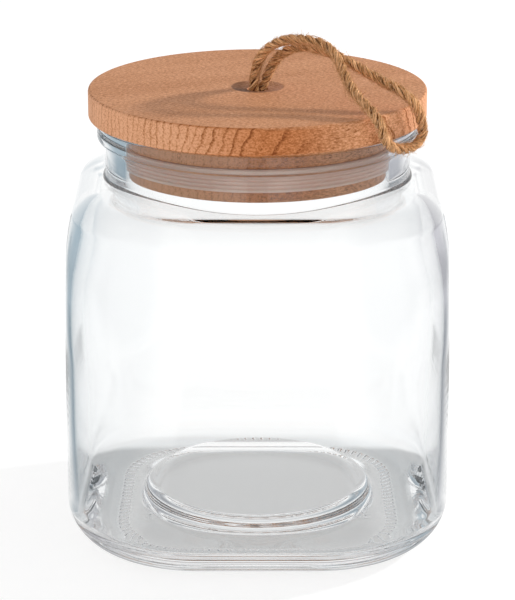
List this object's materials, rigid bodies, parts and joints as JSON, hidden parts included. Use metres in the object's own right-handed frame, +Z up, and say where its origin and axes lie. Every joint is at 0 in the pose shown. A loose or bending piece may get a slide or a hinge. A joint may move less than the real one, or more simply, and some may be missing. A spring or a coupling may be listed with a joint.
{
  "type": "food canister",
  "caption": "Clear glass storage jar, square with rounded corners and a round neck, closed by a lift-off wooden plug lid with a ribbed seal and a rope loop to pull it by.",
  "frame": {"origin": "middle of the jar's base, on the surface that it stands on", "axes": "+Z up through the mouth, -Y towards the flat side that faces the viewer, +X to the viewer's right"},
  "size_m": [0.1544, 0.1544, 0.2073],
  "materials": {
    "glass": "clear and glossy",
    "disc_wood": "sanded, fine grain",
    "plug_wood": "sanded, fine grain",
    "seal": "translucent, satin",
    "rope": "twisted jute, fuzzy"
  },
  "bodies": {
    "jar": {"glass_base": "glass", "glass_wall": "glass", "glass_shoulder": "glass", "glass_neck": "glass"},
    "seal": {"seal_ring": "seal"},
    "lid": {"lid_disc": "disc_wood", "lid_plug": "plug_wood"},
    "loop": {"rope_loop": "rope", "rope_knot": "rope"}
  },
  "joints": [
    {"name": "lid_lift", "type": "slide", "parent": "jar", "child": "seal", "axis": [0, 0, 1], "range_m": [0, 0.04]},
    {"name": "lid_turn", "type": "hinge", "parent": "seal", "child": "lid", "pos_m": [0, 0, 0.1586], "axis": [0, 0, 1], "continuous": true},
    {"name": "loop_swivel", "type": "hinge", "parent": "lid", "child": "loop", "pos_m": [0, 0, 0.1826], "axis": [0, 0, 1], "continuous": true}
  ]
}
